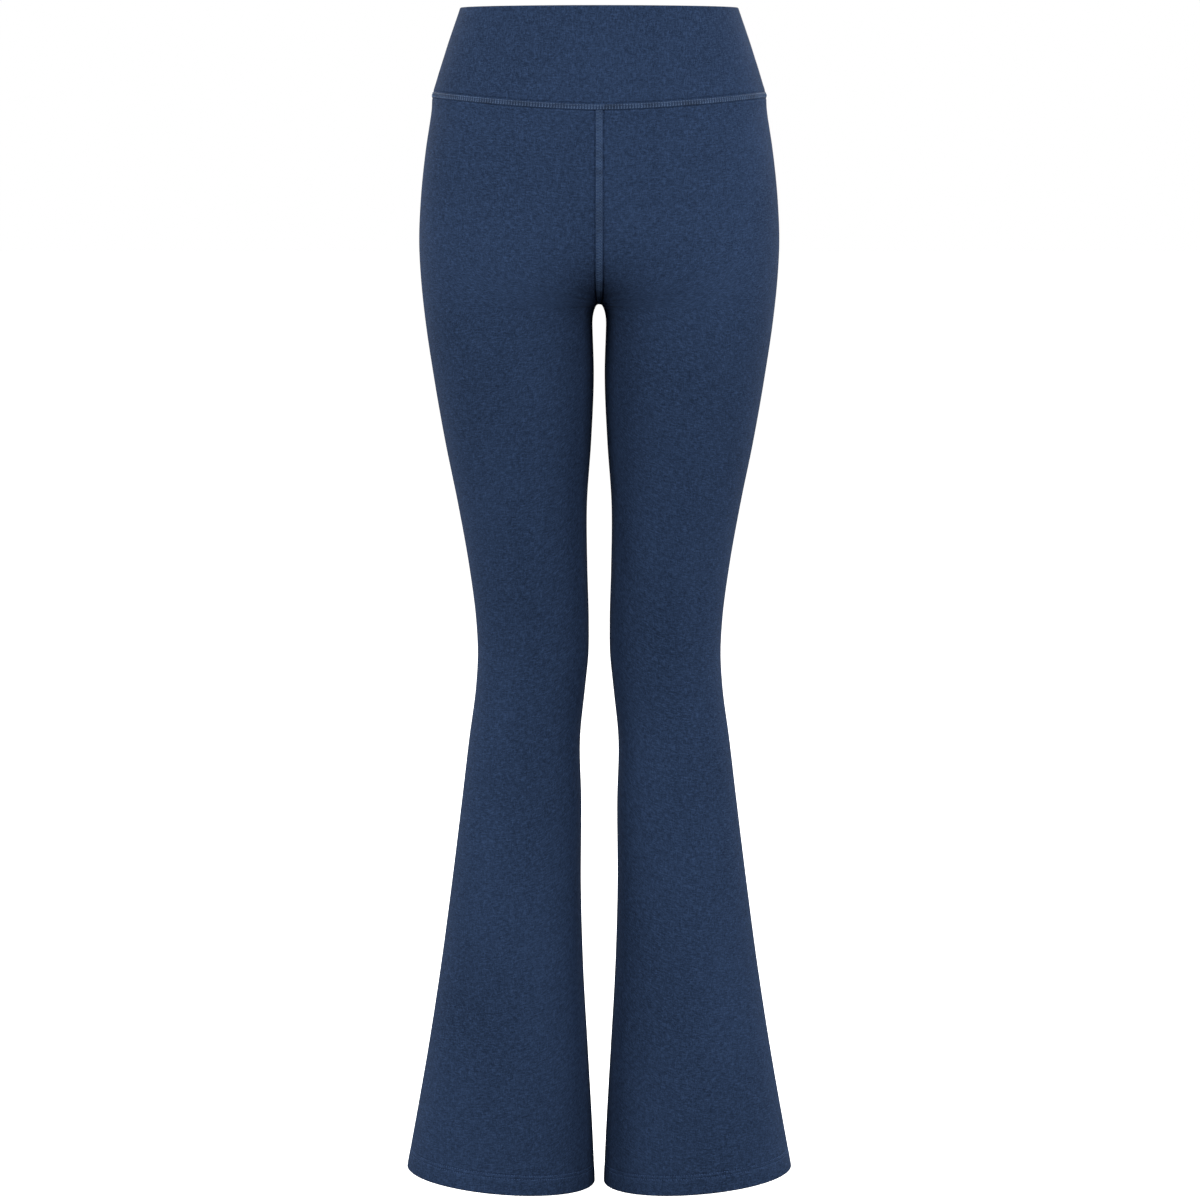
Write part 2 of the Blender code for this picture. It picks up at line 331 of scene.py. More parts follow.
def add_piece(name, points, faces, material, replaced=(), cloth_map=None):
    """Puts points and faces into an object that rides on the garment's body."""
    mesh = bpy.data.meshes.new(name)
    corners = [face for group in faces for face in group.tolist()]
    mesh.from_pydata(points.reshape(-1, 3).tolist(), [], corners)
    if cloth_map is not None:
        corner = np.empty(len(mesh.loops), np.int32)
        mesh.loops.foreach_get("vertex_index", corner)
        layer = mesh.uv_layers.new(name="cloth")
        layer.uv.foreach_set("vector", cloth_map.reshape(-1, 2)[corner].ravel())
    mesh.shade_smooth()
    mesh.set_sharp_from_angle(angle=SHARP)
    mesh.materials.append(material)
    piece = bpy.data.objects.new(name, mesh)
    bpy.context.scene.collection.objects.link(piece)
    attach(piece, "root")
    if replaced:
        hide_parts(*replaced)
    triangles = sum(len(group) * (group.shape[1] - 2) for group in faces)
    print(f"{name}: {triangles} triangles")
    return piece


# %% Two faces to a sheet of cloth
def cloth_shell(name, outer, inner, cloth_map, material, fold_row):
    """A sheet of cloth: its outer and inner face share the row at the fold.

    The other three edges are closed by a rim as wide as the cloth is thick.
    """
    rows, columns = outer.shape[:2]
    front = np.arange(rows * columns).reshape(rows, columns)
    rest = np.arange(rows * columns, (2 * rows - 1) * columns).reshape(rows - 1, columns)
    if fold_row == 0:
        back = np.concatenate([front[:1], rest])
        rim = quads(np.stack([front[-1], back[-1]]))
    else:
        back = np.concatenate([rest, front[-1:]])
        rim = quads(np.stack([back[0], front[0]]))
    kept = back >= rows * columns
    faces = [quads(front), quads(back)[:, ::-1], rim]
    faces += split_pinched(quads(np.stack([back[:, 0], front[:, 0]], 1)))
    faces += split_pinched(quads(np.stack([front[:, -1], back[:, -1]], 1)))
    points = np.concatenate([outer.reshape(-1, 3), inner[kept]])
    both = np.concatenate([cloth_map.reshape(-1, 2), cloth_map[kept]])
    return add_piece(f"{name}_cloth", points, faces, material, (name,), both)


# %% [markdown]
# ## Shader maths
#
# Materials are node trees. A small class wraps one socket, so that a sum or a product in
# Python adds the Math node that does it. Every other node comes from one method.

# %% A socket that can be calculated with
class Wire:
    """One output socket of a material's node tree."""

    def __init__(self, tree, socket=None):
        self.tree, self.socket = tree, socket

    def node(self, kind, settings=None, inputs=None, output=0):
        """Adds a node of any kind: settings first, then the values or wires of its sockets."""
        new = self.tree.nodes.new(kind)
        for name, value in (settings or {}).items():
            setattr(new, name, value)
        for name, value in (inputs or {}).items():
            if isinstance(value, Wire):
                self.tree.links.new(value.socket, new.inputs[name])
            else:
                new.inputs[name].default_value = value
        return Wire(self.tree, new.outputs[output] if new.outputs else None)

    def math(self, operation, left, right):
        """A Math node on two wires or numbers."""
        return self.node("ShaderNodeMath", {"operation": operation}, {0: left, 1: right})

    def __add__(self, other):
        return self.math("ADD", self, other)

    def __mul__(self, other):
        return self.math("MULTIPLY", self, other)

    def __sub__(self, other):
        return self.math("SUBTRACT", self, other)

    def __rsub__(self, other):
        return self.math("SUBTRACT", other, self)

    __radd__ = __add__
    __rmul__ = __mul__

    def noise(self, counts, detail=2.0, roughness=0.5, twist=0.0):
        """Soft random values about 0, as many to the metre as counts says for each axis."""
        place = self.node("ShaderNodeVectorMath", {"operation": "MULTIPLY"}, {0: self, 1: counts})
        field = self.node("ShaderNodeTexNoise", None,
                          {"Vector": place, "Scale": 1.0, "Detail": detail,
                           "Roughness": roughness, "Distortion": twist})
        return field - 0.5

    def mix(self, low, high):
        """A colour between two colours, by this wire's value from 0 to 1."""
        return self.node("ShaderNodeMix", {"data_type": "RGBA", "clamp_factor": True},
                         {0: self, 6: low, 7: high}, output=2)


def new_material(name):
    """An empty material and a wire to start its nodes from."""
    material = bpy.data.materials.new(name)
    material.use_nodes = True
    material.node_tree.nodes.clear()
    return material, Wire(material.node_tree)


def finish_material(start, surface):
    """Joins the shader to the material's output."""
    start.node("ShaderNodeOutputMaterial", None, {"Surface": surface})


# %% [markdown]
# ## The knit
#
# The cloth is a brushed knit of navy yarn in which lighter and darker fibres are mixed. From
# arm's length it shows a fine grain, short streaks along the courses and the wales (the rows
# and the columns of stitches), a little light lint, and faint clouds. A picture of cloth
# would repeat and blur up close, and real loops would be millions of faces. So all of it is
# noise, stretched by different counts per metre. The nap scatters light, so the cloth is
# rough, hardly glossy, and a very little lighter where it turns away.

# %% Knit colours and counts
NAVY = np.array([0.0205, 0.0405, 0.0915])
DARK_FIBRE = NAVY * 0.42
LIGHT_FIBRE = NAVY * 1.5 + 0.004

# How many to the metre across and along the cloth
GRAIN_COUNTS = (950, 950, 0)
COURSE_COUNTS = (230, 720, 0)
WALE_COUNTS = (720, 210, 0)
CLOUD_COUNTS = (90, 110, 0)
SHADE_COUNTS = (9, 6, 0)

# How far each moves the tone, which is 0 for the dark fibre and 1 for the light one
PLAIN_TONE = 0.43
GRAIN_SHARE = 1.5
LINT_SHARE = 3
CLOUD_SHARE = 0.35
SHADE_SHARE = 0.4


def colour(linear):
    """A colour with full alpha, as a socket takes it."""
    return (*linear, 1.0)


# %% Knit material
STREAK_TWIST = 0.5
STREAK_HEIGHT = 0.4
KNIT_ROUGHNESS = 0.88
KNIT_GLOSS = 0.06
NAP = 0.015


def knit(name, course_share, wale_share, brightness=1.0):
    """Navy heather: grain, streaks, lint and clouds move the tone from dark to light navy.

    Lint is the streaks' squares, so it is only ever lighter.
    """
    material, start = new_material(name)
    place = start.node("ShaderNodeUVMap", {"uv_map": "cloth"})
    grain = place.noise(GRAIN_COUNTS, 2.0, 0.6)
    courses = place.noise(COURSE_COUNTS, 2.0, 0.6, STREAK_TWIST)
    wales = place.noise(WALE_COUNTS, 2.0, 0.6, STREAK_TWIST)
    clouds = place.noise(CLOUD_COUNTS, 3.0, 0.6)
    shades = place.noise(SHADE_COUNTS, 2.0, 0.5)
    streaks = courses * course_share + wales * wale_share
    lint = courses * courses + wales * wales
    tone = PLAIN_TONE + grain * GRAIN_SHARE + streaks + lint * LINT_SHARE
    tone = tone + clouds * CLOUD_SHARE + shades * SHADE_SHARE
    # A brightness below 1 paints this copy of the knit darker: painted shade.
    low, high = DARK_FIBRE * brightness, LIGHT_FIBRE * brightness
    bump = start.node("ShaderNodeBump", None, {
        "Strength": 0.3,
        "Distance": 0.5 * MM,
        "Height": grain + streaks * STREAK_HEIGHT,
    })
    surface = start.node("ShaderNodeBsdfPrincipled", None, {
        "Base Color": tone.mix(colour(low), colour(high)),
        "Roughness": KNIT_ROUGHNESS - clouds * 0.1,
        "Specular IOR Level": KNIT_GLOSS,
        "Sheen Weight": NAP,
        "Sheen Roughness": 0.45,
        "Normal": bump,
    })
    finish_material(start, surface)
    return material


leg_knit = knit("navy_knit_legs", 1.5, 1.0)
# The waistband's knit has its own streaks. It is also painted 5 % darker than the legs' knit:
# painted shade for a band that faces up into the lights.
band_knit = knit("navy_knit_waistband", 1.2, 1.25, 0.95)

# %% [markdown]
# The sewing thread is a shade lighter than the cloth and slightly glossy. The looper thread,
# which is laid loosely over a seam, is close to the cloth's own colour. One even colour
# would look like plastic, so the plies and, over longer stretches, patches change its tone.

# %% Thread material
THREAD = np.array([0.062, 0.104, 0.190])
SOFT_THREAD = np.array([0.041, 0.073, 0.141])
PLY_COUNTS = (1500, 1500, 1500)
LOOPER_COUNTS = (900, 900, 1800)
PATCH_COUNTS = (60, 60, 130)
THREAD_ROUGHNESS = 0.72
THREAD_GLOSS = 0.15


def thread(name, linear, ply_counts=PLY_COUNTS):
    """Sewing thread: one colour, made lighter and darker by its plies and in patches."""
    material, start = new_material(name)
    place = start.node("ShaderNodeTexCoord", output=3)
    plies = place.noise(ply_counts, 2.0, 0.6)
    patches = place.noise(PATCH_COUNTS, 2.0, 0.6)
    tone = 0.5 + plies * 2.0 + patches * 2.0
    bump = start.node("ShaderNodeBump", None, {
        "Strength": 0.3,
        "Distance": 0.3 * MM,
        "Height": plies,
    })
    surface = start.node("ShaderNodeBsdfPrincipled", None, {
        "Base Color": tone.mix(colour(linear * 0.6), colour(linear * 1.4)),
        "Roughness": THREAD_ROUGHNESS + plies * 0.2,
        "Specular IOR Level": THREAD_GLOSS,
        "Sheen Weight": NAP,
        "Normal": bump,
    })
    finish_material(start, surface)
    return material


waist_thread = thread("waist_thread", THREAD)
centre_thread = thread("centre_thread", SOFT_THREAD)
waist_looper = thread("waist_looper_thread", NAVY * 0.8, LOOPER_COUNTS)
centre_looper = thread("centre_looper_thread", NAVY * 1.15, LOOPER_COUNTS)
hem_thread = thread("hem_thread", NAVY * 2.2)
print("materials:", bpy.data.materials.keys())

# %% [markdown]
# ## Relief
#
# Stitching pulls the cloth down beside a seam, and leaves a narrow groove that stays dark.
# Worn leggings are stretched nearly smooth. A few soft creases stay at the crotch, under
# the seat and behind the knees. A bump texture would not show at the outline, so they move
# the cloth itself. Each crease is a bell across its line and a wider one along it, and the
# tables give each its own place, length and depth.

# %% Bells, grooves and creases
def bell(distance, width):
    """1 at distance 0, falling smoothly to nothing past the width."""
    return np.exp(-((distance / width) ** 2))


def rising(value, start, end):
    """0 up to start, 1 from end on, and smooth between them."""
    share = np.clip((value - start) / (end - start), 0, 1)
    return share**2 * (3 - 2 * share)


def creases(across, down, table):
    """The sum of the table's creases at points that far across and down the panel.

    A crease's line runs through its middle at its slope, and bends by its bow.
    """
    total = np.zeros_like(down)
    for middle, level, reach, width, slope, bow, depth in table:
        angle = np.radians(slope)
        aside = across - middle * MM
        below = down - level * MM
        along = aside * np.cos(angle) + below * np.sin(angle)
        off = below * np.cos(angle) - aside * np.sin(angle) - bow * along**2 / (reach * MM)
        total += depth * MM * bell(along, reach * MM) * bell(off, width * MM)
    return total


# across, down, half length, half width (mm), slope (degrees), bow, depth (mm)
CREASES = {
    "leg_front_left": (
        (24, 182, 17, 4.0, -38, 0.10, -0.45),
        (33, 196, 14, 3.5, -24, 0.05, -0.35),
        (26, 214, 22, 5.0, -9, -0.08, -0.50),
        (52, 468, 26, 6.0, 6, 0.05, -0.30),
    ),
    "leg_front_right": (
        (21, 178, 14, 3.6, -42, 0.08, -0.40),
        (31, 192, 19, 4.2, -29, 0.06, -0.45),
        (24, 221, 18, 4.6, -6, -0.10, -0.35),
        (60, 480, 30, 7.0, -5, 0.04, -0.28),
    ),
    "leg_back_left": (
        (38, 236, 30, 5.5, -16, 0.15, -0.75),
        (60, 252, 24, 5.0, -7, 0.10, -0.50),
        (30, 262, 16, 4.0, 4, -0.05, -0.40),
        (44, 508, 34, 5.5, 5, 0.10, -0.65),
        (52, 527, 27, 4.8, -4, 0.05, -0.55),
        (38, 545, 22, 5.0, 8, -0.08, -0.40),
    ),
    "leg_back_right": (
        (35, 232, 26, 5.0, -20, 0.12, -0.65),
        (57, 247, 33, 6.0, -9, 0.12, -0.60),
        (33, 268, 14, 4.0, -2, 0.05, -0.35),
        (49, 502, 28, 5.0, -3, 0.08, -0.55),
        (41, 520, 36, 5.6, 6, 0.10, -0.70),
        (54, 549, 20, 4.6, -9, -0.06, -0.35),
    ),
    "waistband_front": (
        (-62, 24, 16, 6.0, 78, 0.05, -0.22),
        (71, 31, 20, 7.0, 84, 0.04, -0.20),
    ),
    "waistband_back": (
        (-48, 40, 22, 7.0, 72, 0.06, -0.35),
        (20, 52, 26, 6.5, 8, 0.08, -0.30),
        (55, 36, 18, 7.0, -80, 0.05, -0.30),
    ),
}
print("creases placed:", sum(len(table) for table in CREASES.values()))

# %% [markdown]
# ## Cloth folded over
#
# The waistband is one strip folded double along its top edge. The hem is turned up inside.
# A Bevel modifier would round such an edge, and cut across the rows of the grid. Instead,
# near a fold, the outer face draws in and the inner face comes out to meet it, as two
# quarters of a circle.

# %% Folds
KNIT_THICKNESS = 1.0 * MM
BAND_THICKNESS = 2.4 * MM
HEM_TURN = 19.5 * MM
QUARTER = 1 - np.cos(np.linspace(0, np.pi / 2, 7))


def draw_in(distance, thickness):
    """How far a face draws in at a distance from the fold: R - sqrt(R^2 - (R - distance)^2)."""
    radius = thickness / 2
    short = np.maximum(radius - distance, 0)
    return radius - np.sqrt(radius**2 - short**2)


def faces_of_cloth(points, normals, relief, distance, thickness):
    """The outer and the inner face, at each point's distance from the fold."""
    drawn = draw_in(distance, thickness)
    outer = points + normals * (relief - drawn)[..., None]
    inner = points + normals * (relief - thickness + drawn)[..., None]
    return outer, inner


# %% [markdown]
# Each panel is also a sheet that a cutter lays out flat. Worn, the knit is stretched round
# the body, and hardly along it, so the flat width is a share of the worn width. The code below
# only measures a panel, and works out no flat cut.


def declare_sheet(points):
    """Measures the panel's length down each column and its cells' cross products, and keeps
    neither.
    """
    down = lengths(points.swapaxes(0, 1))[:, -1]
    cell = np.cross(points[1:, 1:] - points[:-1, :-1], points[1:, :-1] - points[:-1, 1:])


# %% [markdown]
# ## Waistband
#
# Two strips, front and back, joined at the sides. Both halves of a strip come from the one
# half grid, the right one as its mirror image, because a left and a right made apart would
# have to be matched at the middle. The seam allowances inside lift the cloth beside the
# waist seam, and the stitching draws a groove on each side of it.

# %% Sizes near the seams
SEAM_GROOVE = 3.3 * MM
GROOVE_WIDTH = 0.75 * MM
GROOVE_DEPTH = 0.75 * MM
SIDE_EASE = 0.75
SIDE_REACH = 24 * MM
SEAM_SWELL = 0.85 * MM
SWELL_WIDTH = 9 * MM
SIDE_GROOVE_WIDTH = 1.0 * MM
SIDE_GROOVE_DEPTH = 1.2 * MM


def swell(distance):
    """A wide, low bell of lift at the waist seam."""
    return SEAM_SWELL * bell(distance, SWELL_WIDTH)


def seam_groove(distance, aside):
    """A narrow bell of depth beside the waist seam, shallower near the side seams."""
    eased = 1 - SIDE_EASE * bell(aside, SIDE_REACH)
    return GROOVE_DEPTH * eased * bell(distance - SEAM_GROOVE, GROOVE_WIDTH)


# %% Lines and halves of the waistband
ABOVE_SEAM = np.array([11, 8, 6, 5, 4.4, 4, 3.6, 3.3, 3, 2.5, 1.5, 0]) * MM
WAISTBAND_ROWS = 24


def waistband_lines(around):
    """Level lines at the fold, turning evenly into the waist seam."""
    level = QUARTER * BAND_THICKNESS / 2
    return blended_lines(0, level, waist_seam, ABOVE_SEAM, WAISTBAND_ROWS)(around)


def whole_width(half, part, turned):
    """Joins one part of the left half with its mirror image, from one side seam to the other.

    The function turned makes the image: there, distances from the centre count below 0.
    """
    if part == "front":
        left = half[:, :SIDE_COLUMN + 1]
        return np.concatenate([turned(left[:, :0:-1]), left], 1)
    left = half[:, SIDE_COLUMN:]
    return np.concatenate([left, turned(left[:, -2::-1])], 1)


# %% Waistband pieces
# How far the pattern is moved on each strip (m), so that no two are alike
BAND_SHIFTS = {"front": 0, "back": 3}

band_points, band_across, band_aside = half_grid(waistband_lines)
band_normals = outward(band_points)
for part, shift in BAND_SHIFTS.items():
    name = f"waistband_{part}"
    points = whole_width(band_points, part, mirrored)
    normals = whole_width(band_normals, part, mirrored)
    across = whole_width(band_across, part, np.negative)
    aside = whole_width(band_aside, part, np.positive)
    down = lengths(points.swapaxes(0, 1)).T
    to_seam = down[-1] - down
    relief = creases(across, down, CREASES[name]) + swell(to_seam)
    relief -= seam_groove(to_seam, aside)
    relief -= SIDE_GROOVE_DEPTH * bell(aside, SIDE_GROOVE_WIDTH)
    outer, inner = faces_of_cloth(points, normals, relief, down, BAND_THICKNESS)
    cloth_map = np.stack([across + shift, -down], -1)
    piece = cloth_shell(name, outer, inner, cloth_map, band_knit, 0)
    declare_sheet(points)

# %% [markdown]
# ## Legs
#
# Each leg is a front and a back panel. Above the crotch they meet at the centre seam, and
# below it at the inseam. The hem is turned up and stitched, so the cloth is double there,
# and the stitching draws two faint lines round it. A tube for each leg, joined to a tube for
# the hips, would need a patch at the crotch. One grid of lines, crowded near the seams and
# at the hem's stitching, runs from the waist seam to the hem without one.

# %% Rows of the leg panels
BELOW_SEAM = np.array([0, 1.5, 2.5, 3, 3.3, 3.6, 4, 4.4, 5, 6.5, 9, 12]) * MM
RISE_SPACING = 3.1 * MM
ARCH_STEPS = 11
LEG_SPACING = 3.8 * MM
ABOVE_HEM = np.array([28, 25, 23, 21.4, 20.4, 19.7, 19.2, 18.8, 18.4, 17.9, 17.3, 16.6, 15.9, 15.3,
                      14.8, 14.2, 13.4, 12, 10, 7.8, 5.2, 3.5, 2.2, 1.4]) * MM

rise_height = CROTCH - WAISTBAND_SIDE
rise_plain = np.linspace(BELOW_SEAM[-1], rise_height, round(rise_height / RISE_SPACING))[1:]
rise_shares = np.concatenate([BELOW_SEAM, rise_plain]) / rise_height
crotch_row = len(rise_shares) - 1
arch_levels = ARCH * (1 - np.cos(np.linspace(0, np.pi / 2, ARCH_STEPS)))[1:]
hem_levels = np.concatenate([ABOVE_HEM, QUARTER[::-1] * KNIT_THICKNESS])
leg_plain = round((HEM_OUTER - CROTCH - ARCH - ABOVE_HEM[0]) / LEG_SPACING)


def leg_lines(around):
    """Lines from the waist seam to the crotch, and on to the hem."""
    lower = blended_lines(CROTCH, arch_levels, hem, hem_levels, leg_plain)
    return np.concatenate([rise_lines(rise_shares)(around), lower(around)])


leg_points, leg_across, leg_aside = half_grid(leg_lines)
leg_normals = outward(leg_points, crotch_row)
leg_down = lengths(leg_points.swapaxes(0, 1)).T
print("rows and columns of one half:", leg_points.shape[:2], "crotch at row", crotch_row)

# %% Relief of the leg panels
CENTRE_GROOVE = 3.9 * MM
CENTRE_DEPTH = 1.1 * MM
HEM_LINES = (18.8 * MM, 15.3 * MM)
HEM_LINE_DEPTH = 0.42 * MM
HEM_LINE_WIDTH = 0.8 * MM
TURN_EDGE = 1.2 * MM
STITCH_SWELL = 0.12 * MM
CROTCH_FADE = 12 * MM
CROTCH_OVERLAP = 2 * MM


def seam_relief(across, aside, down):
    """Bells of depth along a panel's seams and the hem's stitching, and the hem's low swell.

    At the crotch the centre seam's groove fades out and the inseam's fades in.
    """
    crotch = down[crotch_row]
    above = rising(crotch - down, 0, CROTCH_FADE)
    below = rising(down - crotch, -CROTCH_OVERLAP, CROTCH_FADE)
    to_hem = down[-1] - down
    relief = swell(down) - seam_groove(down, aside)
    relief -= CENTRE_DEPTH * above * bell(across - CENTRE_GROOVE, GROOVE_WIDTH)
    relief -= SIDE_GROOVE_DEPTH * bell(aside, SIDE_GROOVE_WIDTH)
    relief -= SIDE_GROOVE_DEPTH * below * bell(across, SIDE_GROOVE_WIDTH)
    for line in HEM_LINES:
        relief -= HEM_LINE_DEPTH * bell(to_hem - line, HEM_LINE_WIDTH)
    relief += STITCH_SWELL * bell(to_hem - HEM_TURN / 2, HEM_TURN / 2.5)
    return relief


def hem_thickness(to_hem):
    """Double cloth up to the turned edge, and single above it."""
    turned = rising(HEM_TURN + TURN_EDGE - to_hem, 0, TURN_EDGE)
    return KNIT_THICKNESS * (1 + turned)


# %% Leg pieces
# How far the pattern is moved on each panel (m)
PANEL_SHIFTS = {"leg_front_left": 0, "leg_front_right": 5, "leg_back_left": 10,
                "leg_back_right": 15}

for name, shift in PANEL_SHIFTS.items():
    part = slice(0, SIDE_COLUMN + 1) if "front" in name else slice(SIDE_COLUMN, None)
    points, normals = leg_points[:, part], leg_normals[:, part]
    across, aside, down = leg_across[:, part], leg_aside[:, part], leg_down[:, part]
    if "right" in name:
        points, normals = mirrored(points[:, ::-1]), mirrored(normals[:, ::-1])
        across, aside, down = across[:, ::-1], aside[:, ::-1], down[:, ::-1]
    relief = seam_relief(across, aside, down) + creases(across, down, CREASES[name])
    to_hem = down[-1] - down
    outer, inner = faces_of_cloth(points, normals, relief, to_hem, hem_thickness(to_hem))
    cloth_map = np.stack([across + shift, -down], -1)
    piece = cloth_shell(name, outer, inner, cloth_map, leg_knit, -1)
    declare_sheet(points)

# %% [markdown]
# ## Bands of stitching
#
# A cover stitch lays a band of looper thread flat over the seam and ties it down with two
# rows of needle thread. It could be one modelled stitch, repeated along the seam by an Array
# and a Curve modifier, but then all stitches would be alike. Here the band is a low rounded
# strip. The needle and cross threads on it are small tubes, made all at once as arrays, and
# each has its own small error.

# %% Reading a strip's surface
def pick(grid, row, column):
    """The grid's values at fractional rows and columns, weighted between the four around."""
    row = np.clip(row, 0, grid.shape[0] - 1.000001)
    column = np.clip(column, 0, grid.shape[1] - 1.000001)
    r, c = row.astype(int), column.astype(int)
    down, over = (row - r)[..., None], (column - c)[..., None]
    upper = grid[r, c] * (1 - over) + grid[r, c + 1] * over
    lower = grid[r + 1, c] * (1 - over) + grid[r + 1, c + 1] * over
    return upper * (1 - down) + lower * down


def strip_place(points, normals, offsets, along, offset, height):
    """Points on a strip: so far along its middle row, so far off it, and so high above."""
    length = lengths(points[len(offsets) // 2])
    column = np.interp(along, length, np.arange(len(length)))
    row = np.interp(offset, offsets, np.arange(len(offsets)))
    normal = unit(pick(normals, row, column))
    return pick(points, row, column) + normal * height[..., None], normal


# %% Threads as tubes
THREAD_SIDES = 6
END_SHARE = 0.5


def tubes(paths, normals, radius):
    """Points and faces of many short threads at once, one for each path.

    At each step six points stand on a circle square to the path, and the circle is
    smaller at both ends, where the thread goes into the cloth.
    """
    count, steps = paths.shape[:2]
    side = unit(np.cross(np.gradient(paths, axis=1), normals))
    angle = np.arange(THREAD_SIDES) * 2 * np.pi / THREAD_SIDES
    taper = np.ones(steps)
    taper[[0, -1]] = END_SHARE
    wide = (radius * taper)[:, None, None]
    out = np.cos(angle)[:, None] * normals[:, :, None]
    over = np.sin(angle)[:, None] * side[:, :, None]
    points = paths[:, :, None] + wide * (out + over)
    index = np.arange(count * steps * THREAD_SIDES).reshape(count, steps, THREAD_SIDES)
    ring = np.concatenate([index, index[..., :1]], 2)
    corners = [ring[:, :-1, :-1], ring[:, :-1, 1:], ring[:, 1:, 1:], ring[:, 1:, :-1]]
    walls = np.stack(corners, -1).reshape(-1, 4)
    return points, [walls, index[:, 0, ::-1], index[:, -1]]


def join_tubes(groups):
    """Several sets of tubes as one set of points and faces."""
    points, faces, first = [], [], 0
    for group_points, group_faces in groups:
        points.append(group_points.reshape(-1, 3))
        faces += [face + first for face in group_faces]
        first += len(points[-1])
    return np.concatenate(points), faces


# %% Uneven stitches
def uneven(count, amount, seed):
    """Small random shares about 1, the same each time."""
    return 1 + amount * (np.random.default_rng(seed).random(count) - 0.5)


def wandering(count, stretch, seed):
    """Soft random values between -1 and 1: random knots some stitches apart, joined smoothly."""
    knots = np.random.default_rng(seed).uniform(-1, 1, count // stretch + 3)
    place = np.arange(count) / stretch
    return np.interp(place, np.arange(len(knots)), knots)


# %% Band round the waist
BAND_HALF = 2.6 * MM
BAND_HEIGHT = 0.26 * MM
BAND_SUNK = 0.1 * MM
BAND_SQUARENESS = 5
BAND_OFFSETS = np.linspace(-1, 1, 15)


def dome(share):
    """A low rounded section: flat in the middle, down to the cloth at both edges."""
    return np.sqrt(1 - np.abs(share) ** BAND_SQUARENESS)


def band_shell(name, points, normals, height, material, slot, ring):
    """A closed strip: the domed top of the rows, and a flat underside sunk in the cloth."""
    under = np.arange(len(BAND_OFFSETS))[-3:1:-3]
    rise = dome(BAND_OFFSETS) * (height + BAND_SUNK) - BAND_SUNK
    top = points + normals * rise[:, None, None]
    bottom = (points - normals * BAND_SUNK * 1.5)[under]
    rows = np.concatenate([top, bottom])
    index = np.arange(rows.shape[0] * rows.shape[1]).reshape(rows.shape[:2])
    closed = np.concatenate([index, index[:1]])
    if ring:
        faces = [quads(np.concatenate([closed, closed[:, :1]], 1))]
    else:
        faces = [quads(closed), index[:, 0][None], index[::-1, -1][None]]
    add_piece(name, rows, faces, material, (slot,))


def band_lines(around):
    """Lines beside the waist seam, as far above and below it as the band reaches."""
    return waist_seam(around) + (BAND_OFFSETS * BAND_HALF)[:, None]


ring_half = half_grid(band_lines)[0]
ring_half_normals = outward(ring_half)
ring_half = ring_half + ring_half_normals * SEAM_SWELL
ring_points = np.concatenate([ring_half, mirrored(ring_half[:, -2:0:-1])], 1)
ring_normals = np.concatenate([ring_half_normals, mirrored(ring_half_normals[:, -2:0:-1])], 1)
band_shell("waist_seam_band", ring_points, ring_normals, BAND_HEIGHT, waist_looper,
           "waist_seam", True)

# %% Places round the waist
STITCH = 2.65 * MM

ring_closed = np.concatenate([ring_points, ring_points[:, :1]], 1)
ring_closed_normals = np.concatenate([ring_normals, ring_normals[:, :1]], 1)
ring_length = lengths(ring_closed[len(BAND_OFFSETS) // 2])[-1]
ring_count = round(ring_length / STITCH)
ring_pitch = ring_length / ring_count
ring_starts = np.arange(ring_count) * ring_pitch


def on_waist(along, offset, height):
    """Places on the band round the waist, wherever the count has gone past its end."""
    return strip_place(ring_closed, ring_closed_normals, BAND_OFFSETS * BAND_HALF,
                       np.mod(along, ring_length), offset, height)


# %% Needle and cross threads
THREAD_STEPS = 6
UNEVEN_LENGTH = 0.16
NEEDLE_DRIFT = 0.1 * MM
CROSS_DRIFT = 0.35 * MM
CROSS_STRETCH = 9


def row_of_stitches(place, starts, pitch, share, offset, height, radius, seed):
    """Needle stitches along one line: each rises, lies flat and goes down again."""
    step = np.linspace(-0.5, 0.5, THREAD_STEPS)
    long = share * pitch * uneven(len(starts), UNEVEN_LENGTH, seed)
    along = starts[:, None] + pitch / 2 + long[:, None] * step
    drift = NEEDLE_DRIFT * (uneven(len(starts), 1, seed + 1) - 1)
    off = offset + drift[:, None] + 0 * along
    lift = height - radius * 1.1 * np.abs(2 * step) ** 4 + 0 * along
    paths, normals = place(along, off, lift)
    return tubes(paths, normals, radius)


def cross_threads(place, starts, from_offset, to_offset, lean, height, radius, seed):
    """Threads across the band, from one needle line to the other.

    Over some stretches they lie deep in the looper thread and hardly show.
    """
    step = np.linspace(0, 1, THREAD_STEPS)
    drift = CROSS_DRIFT * (uneven(len(starts), 1, seed) - 1)
    slow = 0.45 * wandering(len(starts), CROSS_STRETCH, seed + 1)
    quick = uneven(len(starts), 0.5, seed + 2) - 1.25
    sunk = radius * (slow + quick)
    along = starts[:, None] + drift[:, None] + lean * step
    off = from_offset + (to_offset - from_offset) * step + 0 * along
    lift = height + sunk[:, None] + radius * 0.4 * np.sin(np.pi * step)
    paths, normals = place(along, off, lift)
    return tubes(paths, normals, radius)


# %% Threads round the waist
# share of a stitch, offset, height, radius (mm), seed
WAIST_ROWS = ((1.0, -1.75, 0.08, 0.45, 1), (0.66, 1.4, 0.10, 0.52, 2))
# from offset, to offset, lean, height, radius (mm), seed
WAIST_CROSS = (-1.0, 1.3, 0.3, 0.20, 0.38, 3)

